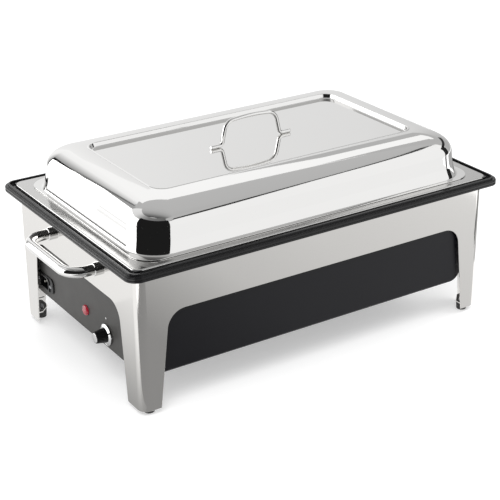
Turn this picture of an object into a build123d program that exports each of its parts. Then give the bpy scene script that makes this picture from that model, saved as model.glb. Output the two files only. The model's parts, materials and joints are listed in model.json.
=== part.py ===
"""Electric buffet server (GN 1/1 electric chafing dish).

Millimetres. +X runs along the long side, the control end is at -X, +Z is up.
The origin is the middle of the footprint, on the surface that the rubber feet stand on.
"""

import os
from math import cos, radians, sin

from build123d import *

os.makedirs("parts", exist_ok=True)

# ---------------------------------------------------------------- driving dimensions
CLEARANCE = 0.3                 # between bodies that move apart
SHEET = 1.0                     # stainless sheet of the pans and the lid

# stand: apron and four legs
FRAME_LENGTH, FRAME_WIDTH = 580.0, 360.0
FRAME_CORNER = 13.0
FRAME_SHEET = 1.5
FRAME_TOP = 206.0
LEG_BOTTOM = 7.0
OPENING_TOP = 145.5
OPENING_CORNER = 27.0
FRONT_OPENING_HALF = (260.5, 244.5)      # at the leg bottom, at the opening top
END_OPENING_HALF = (140.0, 126.0)
TOP_FLANGE_X, TOP_FLANGE_Y = 28.0, 20.0  # inward flange that carries the rim

# black rim
RIM_LENGTH, RIM_WIDTH = 615.0, 395.0
RIM_CORNER = 18.0
RIM_TOP = 216.6
RIM_SEAT = 216.0                # the water pan's flange lies on it
RIM_HOLE_LENGTH, RIM_HOLE_WIDTH = 538.0, 331.0
RIM_GROOVE_FLOOR = 212.3

# water pan
FLANGE_LENGTH, FLANGE_WIDTH = 588.0, 367.0
FLANGE_CORNER = 12.5
FLANGE_TOP = RIM_SEAT + SHEET
FLANGE_DOWNTURN = 3.0
SEAT_LENGTH, SEAT_WIDTH = 533.0, 328.0   # recess for the food pan's flange
SEAT_CORNER = 21.0
SEAT_FLOOR = 210.0
WELL_LENGTH, WELL_WIDTH = 512.0, 304.0
WELL_CORNER = 46.0
WELL_FLOOR = 116.0
WELL_BOTTOM_RADIUS = 12.0

# food pan, GN 1/1
GN_LENGTH, GN_WIDTH, GN_DEPTH = 530.0, 325.0, 65.0
GN_CORNER = 19.0
GN_BODY_LENGTH, GN_BODY_WIDTH = 505.0, 300.0
GN_BODY_CORNER = 44.0
GN_ROLL = 5.0                   # depth of the turned-down flange edge
GN_TAPER = 6.0
GN_BOTTOM_RADIUS = 10.0

# lid
LID_FOOT = FLANGE_TOP + CLEARANCE
LID_BASE_HALF = (270.0, 164.5)
LID_FLANGE_REACH = 8.0
LID_FLANGE_CORNER = 32.0
LID_WALL_SLOPE = 0.085
LID_SHOULDER_START = 250.6
LID_TOP = 282.1
LID_PANEL_HALF = (213.9, 104.6)
LID_PANEL_CORNER = 18.6
LID_PANEL_STEP = 5.8            # width and depth of the sloped step round the panel
LID_BASE_CORNER = 46.0
LID_SHOULDER_ANGLES = (15, 30, 45, 60, 75, 90)

# lid handle
LID_ROD_RADIUS = 3.0
LID_HANDLE_TAIL, LID_HANDLE_FOOT = 68.0, 49.5
LID_HANDLE_SHOULDER = 42.0
LID_HANDLE_RISE, LID_HANDLE_CROWN = 34.0, 37.6

# end handles
HANDLE_TUBE_RADIUS, HANDLE_BORE_RADIUS = 7.5, 6.2
HANDLE_HEIGHT = 176.5
HANDLE_REACH = 41.0             # frame face to tube axis
HANDLE_HALF_SPAN = 70.0
HANDLE_BEND = 26.0
COLLAR_RADIUS, COLLAR_LENGTH = 9.4, 7.0

# black casing and the control panel on its end
CASE_RIGHT = 262.0
CASE_HALF_WIDTH = 174.0
CASE_BOTTOM, CASE_TOP = 53.5, FRAME_TOP - FRAME_SHEET
CASE_SHEET = 1.2
CASE_END_RADIUS = 20.0          # lower edge of the plain end
CASE_EDGE_RADIUS = 5.0          # long lower edges, and on up the corners of the plain end
CASE_FLANGE = 10.0              # turned-in top edge that the rim screws hold
PANEL_FACE = -281.0
PANEL_SHEET = 1.5
PANEL_HALF_WIDTH = 153.0
PANEL_BOTTOM, PANEL_TOP = 56.5, 158.0
PANEL_SCREW_AT = (148.0, 66.0, 150.0)    # half spacing across, lower row, upper row

# controls: (y, z) of each axis on the end panel
KNOB_AT = (-70.5, 75.0)
LAMP_AT = (-9.0, 86.5)
DOT_AT = (-70.0, 99.0)
INLET_AT = (121.5, 78.0)
THERMOSTAT_SCREW_REACH = 11.0
INLET_SCREW_REACH = 20.0
KNOB_END = -300.0
SKIRT_RADIUS, KNOB_RADIUS, KNOB_TIP_RADIUS = 15.5, 10.5, 8.0
SHAFT_RADIUS = 3.0

# feet
FOOT_AT = (273.0, 167.0)
FOOT_HEIGHT = 14.0
FOOT_RADIUS = 8.5

# heater under the water pan
ELEMENT_RADIUS = 4.0
ELEMENT_RUNS = (90.0, 30.0)     # y of the outer and inner straight runs
ELEMENT_ENDS_X, ELEMENT_INNER_TURN_X, ELEMENT_OUTER_TURN_X = -215.0, -150.0, 170.0
SPREADER_SHEET = 3.0
CLAMP_SHEET = 1.6
STUD_RADIUS = 2.0
INSULATION_TOP, INSULATION_THICKNESS = 98.0, 16.0
SHIELD_SHEET = 1.0
WIRE_RADIUS, LEAD_RADIUS = 1.2, 0.9


# ---------------------------------------------------------------- helpers
def rounded_block(length, width, corner, low, high, mode=Mode.ADD):
    """A block with rounded upright edges, centred on the Z axis, added to the open part."""
    with BuildSketch(Plane.XY.offset(low)) as outline:
        RectangleRounded(length, width, corner)
    extrude(outline.sketch, amount=high - low, mode=mode)


def outward(x, y, z):
    """A sketch plane on the control end that faces -X, with its own y up."""
    return Plane(origin=(x, y, z), x_dir=(0, -1, 0), z_dir=(-1, 0, 0))


def publish(builder, name):
    builder.part.label = name
    export_step(builder.part, f"parts/{name}.step")


FOOT_CORNERS = [(sx * FOOT_AT[0], sy * FOOT_AT[1]) for sx in (-1, 1) for sy in (-1, 1)]
HANDLE_FEET = [(sx, sy * HANDLE_HALF_SPAN) for sx in (-1, 1) for sy in (-1, 1)]

# ---------------------------------------------------------------- stand
frame_inner_x = FRAME_LENGTH / 2 - FRAME_SHEET
frame_inner_y = FRAME_WIDTH / 2 - FRAME_SHEET
handle_screw_hole = 3.25
rim_screw_hole = 2.2
rim_screw_places = [(x, sy * 168.8) for x in (-190, 0, 190) for sy in (-1, 1)]


def opening_corners(half_widths):
    """Legs narrow towards the floor, so the opening between them widens."""
    bottom, top = half_widths
    slope = (bottom - top) / (OPENING_TOP - LEG_BOTTOM)
    floor = bottom + slope * LEG_BOTTOM
    return (-floor, 0), (-top, OPENING_TOP), (top, OPENING_TOP), (floor, 0)


with BuildPart() as frame:
    rounded_block(FRAME_LENGTH, FRAME_WIDTH, FRAME_CORNER, LEG_BOTTOM, FRAME_TOP)
    rounded_block(2 * frame_inner_x, 2 * frame_inner_y, FRAME_CORNER - FRAME_SHEET,
                  LEG_BOTTOM, FRAME_TOP - FRAME_SHEET, Mode.SUBTRACT)
    rounded_block(FRAME_LENGTH - 2 * TOP_FLANGE_X, FRAME_WIDTH - 2 * TOP_FLANGE_Y, FRAME_CORNER,
                  FRAME_TOP - FRAME_SHEET, FRAME_TOP, Mode.SUBTRACT)
    for side, halves in ((Plane.XZ, FRONT_OPENING_HALF), (Plane.YZ, END_OPENING_HALF)):
        with BuildSketch(side) as opening:
            with BuildLine():
                Polyline(*opening_corners(halves), close=True)
            make_face()
            fillet(opening.vertices().group_by(Axis.Y)[-1], OPENING_CORNER)
        extrude(amount=FRAME_LENGTH, both=True, mode=Mode.SUBTRACT)
    for x in (-FRAME_LENGTH / 2, frame_inner_x):
        with BuildSketch(Plane.YZ.offset(x)):
            with Locations((-HANDLE_HALF_SPAN, HANDLE_HEIGHT), (HANDLE_HALF_SPAN, HANDLE_HEIGHT)):
                Circle(handle_screw_hole)
        extrude(amount=FRAME_SHEET, mode=Mode.SUBTRACT)
    with BuildSketch(Plane.XY.offset(FRAME_TOP - FRAME_SHEET)):
        with Locations(*rim_screw_places):
            Circle(rim_screw_hole)
    extrude(amount=FRAME_SHEET, mode=Mode.SUBTRACT)
publish(frame, "frame")

# ---------------------------------------------------------------- feet
bracket_sheet = 1.5
bracket_top = FOOT_HEIGHT + bracket_sheet
bracket_lip = 9.0
bracket_reach = 27.0
corner_cut = FRAME_CORNER - FRAME_SHEET
foot_screw_radius = 2.0

with BuildPart() as foot_brackets:
    for x, y in FOOT_CORNERS:
        sx, sy = (1 if x > 0 else -1), (1 if y > 0 else -1)
        near_x, near_y = sx * frame_inner_x, sy * frame_inner_y
        flat_x, flat_y = near_x - sx * corner_cut, near_y - sy * corner_cut
        deep_x, deep_y = near_x - sx * bracket_reach, near_y - sy * bracket_reach
        with BuildSketch(Plane.XY.offset(FOOT_HEIGHT)):
            with BuildLine():
                Polyline((near_x, flat_y), (flat_x, near_y), (deep_x, near_y), (deep_x, flat_y),
                         (flat_x, deep_y), (near_x, deep_y), close=True)
            make_face()
            with Locations((x, y)):
                Circle(foot_screw_radius + 0.2, mode=Mode.SUBTRACT)
        extrude(amount=bracket_sheet)
        with BuildSketch(Plane.XY.offset(bracket_top)):
            with Locations((near_x - sx * bracket_sheet / 2, (flat_y + deep_y) / 2)):
                Rectangle(bracket_sheet, abs(flat_y - deep_y))
            with Locations(((flat_x + deep_x) / 2, near_y - sy * bracket_sheet / 2)):
                Rectangle(abs(flat_x - deep_x), bracket_sheet)
        extrude(amount=bracket_lip)
publish(foot_brackets, "foot_brackets")

with BuildPart() as rubber_feet:
    for place in FOOT_CORNERS:
        with BuildSketch(Plane.XY):
            with Locations(place):
                Circle(FOOT_RADIUS - 1.2)
        with BuildSketch(Plane.XY.offset(FOOT_HEIGHT)):
            with Locations(place):
                Circle(FOOT_RADIUS)
        loft()
    with BuildSketch(Plane.XY):
        with Locations(*FOOT_CORNERS):
            Circle(foot_screw_radius)
    extrude(amount=FOOT_HEIGHT, mode=Mode.SUBTRACT)
    with BuildSketch(Plane.XY):
        with Locations(*FOOT_CORNERS):
            Circle(4.2)
    extrude(amount=6.0, mode=Mode.SUBTRACT)
publish(rubber_feet, "rubber_feet")

with BuildPart() as foot_screws:
    with BuildSketch(Plane.XY.offset(3.4)):
        with Locations(*FOOT_CORNERS):
            Circle(3.8)
    extrude(amount=2.6)
    with BuildSketch(Plane.XY.offset(6.0)):
        with Locations(*FOOT_CORNERS):
            Circle(foot_screw_radius)
    extrude(amount=14.5)
    with BuildSketch(Plane.XY.offset(3.4)):
        with Locations(*FOOT_CORNERS):
            Rectangle(4.6, 0.9)
            Rectangle(0.9, 4.6)
    extrude(amount=1.3, mode=Mode.SUBTRACT)
publish(foot_screws, "foot_screws")

with BuildPart() as foot_nuts:
    with BuildSketch(Plane.XY.offset(bracket_top)):
        with Locations(*FOOT_CORNERS):
            RegularPolygon(4.0, 6)
            Circle(foot_screw_radius, mode=Mode.SUBTRACT)
    extrude(amount=3.2)
publish(foot_nuts, "foot_nuts")

# ---------------------------------------------------------------- black rim
ridge_depth, ridge_width = 0.9, 1.3
ridge_heights = (209.3, 212.9)
lip_length, lip_width = RIM_LENGTH - 9.0, RIM_WIDTH - 9.0
groove_length, groove_width = RIM_LENGTH - 15.0, RIM_WIDTH - 15.0

with BuildPart() as rim:
    rounded_block(RIM_LENGTH, RIM_WIDTH, RIM_CORNER, FRAME_TOP, 213.6)
    rounded_block(lip_length, lip_width, RIM_CORNER - 4.5, 213.6, RIM_TOP)
    fillet(rim.edges().filter_by_position(Axis.Z, 213.6, 213.6).filter_by(
        lambda edge: max(abs(edge.center().X) - lip_length / 2, abs(edge.center().Y) - lip_width / 2) > 0.5
        or edge.geom_type == GeomType.CIRCLE and edge.radius > RIM_CORNER - 1), 1.6)
    chamfer(rim.edges().group_by(Axis.Z)[-1], 0.9)
    rounded_block(groove_length, groove_width, RIM_CORNER - 7.5, RIM_GROOVE_FLOOR, RIM_TOP, Mode.SUBTRACT)
    rounded_block(FLANGE_LENGTH - 2.6, FLANGE_WIDTH - 2.6, FLANGE_CORNER - 1.3, RIM_GROOVE_FLOOR, RIM_SEAT)
    rounded_block(RIM_HOLE_LENGTH, RIM_HOLE_WIDTH, 24.0, FRAME_TOP, RIM_TOP, Mode.SUBTRACT)
    for height in ridge_heights:
        with BuildSketch(Plane.XY.offset(height - ridge_width / 2)):
            RectangleRounded(RIM_LENGTH + 2, RIM_WIDTH + 2, RIM_CORNER + 1)
            RectangleRounded(RIM_LENGTH - 2 * ridge_depth, RIM_WIDTH - 2 * ridge_depth,
                             RIM_CORNER - ridge_depth, mode=Mode.SUBTRACT)
        extrude(amount=ridge_width, mode=Mode.SUBTRACT)
    with BuildSketch(Plane.XY.offset(FRAME_TOP)):
        with Locations(*rim_screw_places):
            Circle(1.7)
    extrude(amount=6.0, mode=Mode.SUBTRACT)
publish(rim, "rim")

# ---------------------------------------------------------------- water pan
with BuildPart() as well_core:
    rounded_block(WELL_LENGTH, WELL_WIDTH, WELL_CORNER, WELL_FLOOR, FLANGE_TOP)
    fillet(well_core.edges().group_by(Axis.Z)[0], WELL_BOTTOM_RADIUS - SHEET)

with BuildPart() as water_pan:
    rounded_block(WELL_LENGTH + 2 * SHEET, WELL_WIDTH + 2 * SHEET, WELL_CORNER + SHEET,
                  WELL_FLOOR - SHEET, SEAT_FLOOR)
    fillet(water_pan.edges().group_by(Axis.Z)[0], WELL_BOTTOM_RADIUS)
    rounded_block(SEAT_LENGTH + 2 * SHEET, SEAT_WIDTH + 2 * SHEET, SEAT_CORNER + SHEET,
                  SEAT_FLOOR - SHEET, RIM_SEAT)
    rounded_block(FLANGE_LENGTH, FLANGE_WIDTH, FLANGE_CORNER, RIM_SEAT, FLANGE_TOP)
    fillet(water_pan.edges().group_by(Axis.Z)[-1], 0.8)
    with BuildSketch(Plane.XY.offset(RIM_SEAT - FLANGE_DOWNTURN)):
        RectangleRounded(FLANGE_LENGTH, FLANGE_WIDTH, FLANGE_CORNER)
        RectangleRounded(FLANGE_LENGTH - 2 * SHEET, FLANGE_WIDTH - 2 * SHEET, FLANGE_CORNER - SHEET,
                         mode=Mode.SUBTRACT)
    extrude(amount=FLANGE_DOWNTURN)
    rounded_block(SEAT_LENGTH, SEAT_WIDTH, SEAT_CORNER, SEAT_FLOOR, FLANGE_TOP, Mode.SUBTRACT)
    add(well_core.part, mode=Mode.SUBTRACT)
publish(water_pan, "water_pan")

# ---------------------------------------------------------------- food pan
gn_flange_low = SEAT_FLOOR + CLEARANCE
gn_top = gn_flange_low + GN_ROLL
gn_bottom = gn_top - GN_DEPTH

with BuildPart() as food_pan_core:
    with BuildSketch(Plane.XY.offset(gn_top)):
        RectangleRounded(GN_BODY_LENGTH, GN_BODY_WIDTH, GN_BODY_CORNER)
    extrude(amount=gn_bottom + SHEET - gn_top, taper=GN_TAPER)
    fillet(food_pan_core.edges().group_by(Axis.Z)[0], GN_BOTTOM_RADIUS - SHEET)

with BuildPart() as food_pan:
    with BuildSketch(Plane.XY.offset(gn_top)):
        RectangleRounded(GN_BODY_LENGTH + 2 * SHEET, GN_BODY_WIDTH + 2 * SHEET, GN_BODY_CORNER + SHEET)
    extrude(amount=gn_bottom - gn_top, taper=GN_TAPER)
    fillet(food_pan.edges().group_by(Axis.Z)[0], GN_BOTTOM_RADIUS)
    rounded_block(GN_LENGTH, GN_WIDTH, GN_CORNER, gn_top - SHEET, gn_top)
    fillet(food_pan.edges().group_by(Axis.Z)[-1], 0.7)
    with BuildSketch(Plane.XY.offset(gn_flange_low)):
        RectangleRounded(GN_LENGTH, GN_WIDTH, GN_CORNER)
        RectangleRounded(GN_LENGTH - 2 * SHEET, GN_WIDTH - 2 * SHEET, GN_CORNER - SHEET, mode=Mode.SUBTRACT)
    extrude(amount=GN_ROLL - SHEET)
    add(food_pan_core.part, mode=Mode.SUBTRACT)
publish(food_pan, "food_pan")


# ---------------------------------------------------------------- lid
def lid_sections(skin):
    """Rounded rectangles up the lid's wall and round its elliptical shoulder, skin mm inside its face."""
    wall_inset = LID_WALL_SLOPE * (LID_SHOULDER_START - LID_FOOT)
    run_x = LID_BASE_HALF[0] - wall_inset - LID_PANEL_HALF[0]
    run_y = LID_BASE_HALF[1] - wall_inset - LID_PANEL_HALF[1]
    stations = [(LID_FOOT, 0.0, 0.0), (LID_SHOULDER_START, wall_inset, 0.0)]
    for angle in LID_SHOULDER_ANGLES:
        rise = (LID_TOP - LID_SHOULDER_START) * sin(radians(angle))
        stations.append((LID_SHOULDER_START + rise, wall_inset, 1 - cos(radians(angle))))
    sections = []
    for height, inset, share in stations:
        settle = (1 - share) ** 2
        corner = LID_PANEL_CORNER + (LID_BASE_CORNER - LID_PANEL_CORNER) * settle
        sink = skin * (height - LID_FOOT) / (LID_TOP - LID_FOOT)
        half_x = LID_BASE_HALF[0] - inset - share * run_x - skin
        half_y = LID_BASE_HALF[1] - inset - share * run_y - skin
        with BuildSketch(Plane.XY.offset(height - sink)) as section:
            RectangleRounded(2 * half_x, 2 * half_y, corner - skin)
        sections.append(section.sketch)
    return sections


def lid_recess(skin):
    """The sunk panel: its outline tapers down one step."""
    half_x, half_y = LID_PANEL_HALF[0] + skin, LID_PANEL_HALF[1] + skin
    with BuildSketch(Plane.XY.offset(LID_TOP - skin)) as brink:
        RectangleRounded(2 * half_x, 2 * half_y, LID_PANEL_CORNER + skin)
    with BuildSketch(Plane.XY.offset(LID_TOP - LID_PANEL_STEP - skin)) as floor:
        RectangleRounded(2 * (half_x - LID_PANEL_STEP), 2 * (half_y - LID_PANEL_STEP),
                         LID_PANEL_CORNER - LID_PANEL_STEP + skin)
    loft([brink.sketch, floor.sketch], mode=Mode.SUBTRACT)


with BuildPart() as lid_core:
    loft(lid_sections(SHEET), ruled=True)
    lid_recess(SHEET * 1.1)

with BuildPart() as lid:
    loft(lid_sections(0.0), ruled=True)
    lid_recess(0.0)
    rounded_block(2 * (LID_BASE_HALF[0] + LID_FLANGE_REACH), 2 * (LID_BASE_HALF[1] + LID_FLANGE_REACH),
                  LID_FLANGE_CORNER, LID_FOOT, LID_FOOT + SHEET)
    add(lid_core.part, mode=Mode.SUBTRACT)
publish(lid, "lid")

panel_level = LID_TOP - LID_PANEL_STEP
rod_low = panel_level + LID_ROD_RADIUS
with BuildPart() as lid_handle:
    with BuildLine(Plane.XZ) as rod_line:
        FilletPolyline((-LID_HANDLE_TAIL, rod_low), (-LID_HANDLE_FOOT, rod_low),
                       (-LID_HANDLE_SHOULDER, rod_low + LID_HANDLE_RISE),
                       (0, rod_low + LID_HANDLE_CROWN),
                       (LID_HANDLE_SHOULDER, rod_low + LID_HANDLE_RISE),
                       (LID_HANDLE_FOOT, rod_low), (LID_HANDLE_TAIL, rod_low),
                       radius=[6.0, 13.0, 200.0, 13.0, 6.0])
    with BuildSketch(Plane(origin=rod_line.line @ 0, z_dir=rod_line.line % 0)):
        Circle(LID_ROD_RADIUS)
    sweep()
publish(lid_handle, "lid_handle")

# ---------------------------------------------------------------- end handles
plug_length = 12.0
for side, name in ((-1, "end_handle_left"), (1, "end_handle_right")):
    face = side * FRAME_LENGTH / 2
    grip = face + side * HANDLE_REACH
    with BuildPart() as end_handle:
        with BuildLine(Plane.XY.offset(HANDLE_HEIGHT)) as tube_line:
            FilletPolyline((face, -HANDLE_HALF_SPAN), (grip, -HANDLE_HALF_SPAN),
                           (grip, HANDLE_HALF_SPAN), (face, HANDLE_HALF_SPAN), radius=HANDLE_BEND)
        with BuildSketch(Plane(origin=tube_line.line @ 0, z_dir=tube_line.line % 0)):
            Circle(HANDLE_TUBE_RADIUS)
            Circle(HANDLE_BORE_RADIUS, mode=Mode.SUBTRACT)
        sweep()
    publish(end_handle, name)

with BuildPart() as handle_collars:
    for sx, y in HANDLE_FEET:
        with BuildSketch(Plane.YZ.offset(sx * FRAME_LENGTH / 2)):
            with Locations((y, HANDLE_HEIGHT)):
                Circle(COLLAR_RADIUS)
        extrude(amount=sx * COLLAR_LENGTH)
    fillet(handle_collars.edges().filter_by(GeomType.CIRCLE).filter_by(
        lambda edge: abs(edge.center().X) > FRAME_LENGTH / 2 + 1), 1.2)
    with BuildSketch(Plane.YZ):
        with Locations((-HANDLE_HALF_SPAN, HANDLE_HEIGHT), (HANDLE_HALF_SPAN, HANDLE_HEIGHT)):
            Circle(HANDLE_TUBE_RADIUS)
    extrude(amount=FRAME_LENGTH, both=True, mode=Mode.SUBTRACT)
publish(handle_collars, "handle_collars")

with BuildPart() as handle_plugs:
    for sx, y in HANDLE_FEET:
        with BuildSketch(Plane.YZ.offset(sx * FRAME_LENGTH / 2)):
            with Locations((y, HANDLE_HEIGHT)):
                Circle(HANDLE_BORE_RADIUS)
                Circle(3.0, mode=Mode.SUBTRACT)
        extrude(amount=sx * plug_length)
publish(handle_plugs, "handle_plugs")

with BuildPart() as handle_screws:
    for sx, y in HANDLE_FEET:
        with BuildSketch(Plane.YZ.offset(sx * frame_inner_x)):
            with Locations((y, HANDLE_HEIGHT)):
                RegularPolygon(5.5, 6)
        extrude(amount=-sx * 3.6)
        with BuildSketch(Plane.YZ.offset(sx * frame_inner_x)):
            with Locations((y, HANDLE_HEIGHT)):
                Circle(3.0)
        extrude(amount=sx * (FRAME_SHEET + plug_length))
publish(handle_screws, "handle_screws")

# ---------------------------------------------------------------- black casing
case_back = PANEL_FACE + PANEL_SHEET
panel_screw_places = [(sy * PANEL_SCREW_AT[0], z) for sy in (-1, 1) for z in PANEL_SCREW_AT[1:]]


def case_block(inset, top, mode=Mode.ADD):
    """The casing's outline seen from the front, inset all round but at the top."""
    left, right = case_back + inset, CASE_RIGHT - inset
    low = CASE_BOTTOM + inset
    with BuildSketch(Plane.XZ) as outline:
        with BuildLine():
            Polyline((left, top), (left, low), (right - CASE_END_RADIUS + inset, low))
            RadiusArc((right - CASE_END_RADIUS + inset, low), (right, low + CASE_END_RADIUS - inset),
                      -(CASE_END_RADIUS - inset))
            Polyline((right, low + CASE_END_RADIUS - inset), (right, top), (left, top))
        make_face()
    extrude(outline.sketch, amount=CASE_HALF_WIDTH - inset, both=True, mode=mode)


def long_lower_edges(builder):
    """A fillet on these runs on round the plain end's arc and up its corners, which are tangent to them."""
    return builder.edges().filter_by(Axis.X).group_by(Axis.Z)[0]


with BuildPart() as case_core:
    case_block(CASE_SHEET, CASE_TOP - CASE_SHEET)
    fillet(long_lower_edges(case_core), CASE_EDGE_RADIUS - CASE_SHEET)

with BuildPart() as housing:
    case_block(0.0, CASE_TOP)
    fillet(long_lower_edges(housing), CASE_EDGE_RADIUS)
    add(case_core.part, mode=Mode.SUBTRACT)
    mouth_left, mouth_right = case_back + CASE_FLANGE + CASE_SHEET, CASE_RIGHT - CASE_SHEET
    with BuildSketch(Plane.XY.offset(CASE_TOP - CASE_SHEET)):
        with Locations(((mouth_left + mouth_right) / 2, 0)):
            Rectangle(mouth_right - mouth_left, 2 * (CASE_HALF_WIDTH - CASE_FLANGE))
    extrude(amount=CASE_SHEET, mode=Mode.SUBTRACT)
    with BuildSketch(Plane.XY.offset(CASE_TOP - CASE_SHEET)):
        with Locations(*rim_screw_places):
            Circle(rim_screw_hole)
    extrude(amount=CASE_SHEET, mode=Mode.SUBTRACT)
    with BuildSketch(Plane.YZ.offset(case_back)):
        with Locations((0, 105)):
            Rectangle(286, 90)
        with Locations(*panel_screw_places):
            Circle(1.5)
    extrude(amount=CASE_SHEET, mode=Mode.SUBTRACT)
    with BuildSketch(Plane.XY.offset(CASE_BOTTOM)):
        with GridLocations(40, 200, 7, 2):
            SlotOverall(26, 4)
    extrude(amount=CASE_SHEET, mode=Mode.SUBTRACT)
    with BuildSketch(Plane.XY.offset(CASE_BOTTOM)):
        with Locations((202, -158)):
            RectangleRounded(26, 18, 4)
    extrude(amount=-3.0, taper=20)
publish(housing, "housing")

with BuildPart() as rim_screws:
    with BuildSketch(Plane.XY.offset(CASE_TOP - CASE_SHEET)):
        with Locations(*rim_screw_places):
            Circle(3.5)
    extrude(amount=-2.4)
    fillet(rim_screws.edges().group_by(Axis.Z)[0], 0.9)
    with BuildSketch(Plane.XY.offset(CASE_TOP - CASE_SHEET)):
        with Locations(*rim_screw_places):
            Circle(1.7)
    extrude(amount=FRAME_TOP + 6.0 - CASE_TOP + CASE_SHEET)
publish(rim_screws, "rim_screws")

# ---------------------------------------------------------------- control panel
bush_radius = 4.5
lamp_radius = 6.0
inlet_body_width, inlet_body_height = 28.0, 20.4
thermostat_screw_places = [(KNOB_AT[0] + s * THERMOSTAT_SCREW_REACH, KNOB_AT[1]) for s in (-1, 1)]
inlet_screw_places = [(INLET_AT[0] + s * INLET_SCREW_REACH, INLET_AT[1]) for s in (-1, 1)]

with BuildPart() as control_panel:
    with BuildSketch(Plane.YZ.offset(PANEL_FACE)):
        with Locations((0, (PANEL_BOTTOM + PANEL_TOP) / 2)):
            RectangleRounded(2 * PANEL_HALF_WIDTH, PANEL_TOP - PANEL_BOTTOM, 4.0)
        with Locations(KNOB_AT):
            Circle(bush_radius + 0.2, mode=Mode.SUBTRACT)
        with Locations(LAMP_AT):
            Circle(lamp_radius + 0.2, mode=Mode.SUBTRACT)
        with Locations(DOT_AT):
            Circle(0.8, mode=Mode.SUBTRACT)
        with Locations(INLET_AT):
            Rectangle(inlet_body_width + 0.6, inlet_body_height + 0.6, mode=Mode.SUBTRACT)
        with Locations(*thermostat_screw_places, *inlet_screw_places):
            Circle(1.6, mode=Mode.SUBTRACT)
        with Locations(*panel_screw_places):
            Circle(1.7, mode=Mode.SUBTRACT)
    extrude(amount=PANEL_SHEET)
publish(control_panel, "control_panel")


def pan_head_screws(places, seat, head_radius, head_height, shank_radius, shank_length):
    """Cross-recessed screws driven into the control end; seat is the x that their heads lie on."""
    with BuildSketch(Plane.YZ.offset(seat)) as head:
        with Locations(*places):
            Circle(head_radius)
    extrude(head.sketch, amount=-head_height, taper=18)
    with BuildSketch(Plane.YZ.offset(seat - head_height)) as recess:
        with Locations(*places):
            Rectangle(1.1 * head_radius, 0.7)
            Rectangle(0.7, 1.1 * head_radius)
    extrude(recess.sketch, amount=0.5 * head_height, mode=Mode.SUBTRACT)
    with BuildSketch(Plane.YZ.offset(seat)) as shank:
        with Locations(*places):
            Circle(shank_radius)
    extrude(shank.sketch, amount=shank_length)


with BuildPart() as panel_screws:
    pan_head_screws(panel_screw_places, PANEL_FACE, 2.8, 1.8, 1.5, 6.0)
publish(panel_screws, "panel_screws")

with BuildPart() as index_dot:
    with BuildSketch(Plane.YZ.offset(PANEL_FACE)):
        with Locations(DOT_AT):
            Circle(1.5)
    extrude(amount=-0.8)
    fillet(index_dot.edges().group_by(Axis.X)[0], 0.5)
    with BuildSketch(Plane.YZ.offset(PANEL_FACE)):
        with Locations(DOT_AT):
            Circle(0.8)
    extrude(amount=2.5)
publish(index_dot, "index_dot")

# ---------------------------------------------------------------- thermostat and knob
thermostat_back = case_back + 26.0
bush_face = PANEL_FACE - 1.2
shaft_inner, shaft_outer = -268.0, -297.0
skirt_back, skirt_front = -283.1, -285.5

with BuildPart() as thermostat_body:
    with BuildSketch(Plane.YZ.offset(case_back)):
        with Locations(KNOB_AT):
            RectangleRounded(36, 26, 3)
    extrude(amount=thermostat_back - case_back)
    fillet(thermostat_body.edges().group_by(Axis.X)[-1], 1.5)
    with BuildSketch(Plane.YZ.offset(case_back)):
        with Locations(KNOB_AT):
            Circle(bush_radius)
    extrude(amount=bush_face - case_back)
    with BuildSketch(Plane.YZ.offset(bush_face)):
        with Locations(KNOB_AT):
            Circle(SHAFT_RADIUS + 0.05)
    extrude(amount=shaft_inner + CLEARANCE - bush_face, mode=Mode.SUBTRACT)
    with BuildSketch(Plane.YZ.offset(case_back)):
        with Locations(*thermostat_screw_places):
            Circle(1.5)
    extrude(amount=5.0, mode=Mode.SUBTRACT)
publish(thermostat_body, "thermostat_body")

with BuildPart() as thermostat_screws:
    pan_head_screws(thermostat_screw_places, PANEL_FACE, 2.8, 1.6, 1.5, 6.0)
publish(thermostat_screws, "thermostat_screws")

with BuildPart() as thermostat_shaft:
    with BuildSketch(Plane.YZ.offset(shaft_inner)):
        with Locations(KNOB_AT):
            Circle(SHAFT_RADIUS)
    extrude(amount=shaft_outer - shaft_inner)
publish(thermostat_shaft, "thermostat_shaft")

with BuildPart() as knob_skirt:
    with BuildSketch(outward(skirt_back, KNOB_AT[0], KNOB_AT[1])):
        Circle(SKIRT_RADIUS)
        Circle(SHAFT_RADIUS, mode=Mode.SUBTRACT)
    extrude(amount=skirt_back - skirt_front)
    chamfer(knob_skirt.edges().group_by(Axis.X)[0].sort_by(SortBy.LENGTH)[-1], 1.9, 3.2)
publish(knob_skirt, "knob_skirt")

flutes, flute_radius = 24, 1.1
with BuildPart() as knob_body:
    with BuildSketch(outward(skirt_front, KNOB_AT[0], KNOB_AT[1])):
        Circle(KNOB_RADIUS)
        with PolarLocations(KNOB_RADIUS + 0.55, flutes):
            Circle(flute_radius, mode=Mode.SUBTRACT)
    with BuildSketch(outward(KNOB_END, KNOB_AT[0], KNOB_AT[1])):
        Circle(KNOB_TIP_RADIUS)
        with PolarLocations(KNOB_TIP_RADIUS + 0.55, flutes):
            Circle(flute_radius * KNOB_TIP_RADIUS / KNOB_RADIUS, mode=Mode.SUBTRACT)
    loft()
    with BuildSketch(outward(skirt_front, KNOB_AT[0], KNOB_AT[1])):
        Circle(SHAFT_RADIUS)
    extrude(amount=skirt_front - shaft_outer, mode=Mode.SUBTRACT)
publish(knob_body, "knob_body")

with BuildPart() as knob_cap:
    with BuildSketch(outward(KNOB_END, KNOB_AT[0], KNOB_AT[1])):
        Circle(KNOB_TIP_RADIUS - 0.9)
    extrude(amount=1.2)
    fillet(knob_cap.edges().group_by(Axis.X)[0], 0.8)
publish(knob_cap, "knob_cap")

# ---------------------------------------------------------------- lamp
lens_radius, lens_height = 7.75, 3.6

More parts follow.
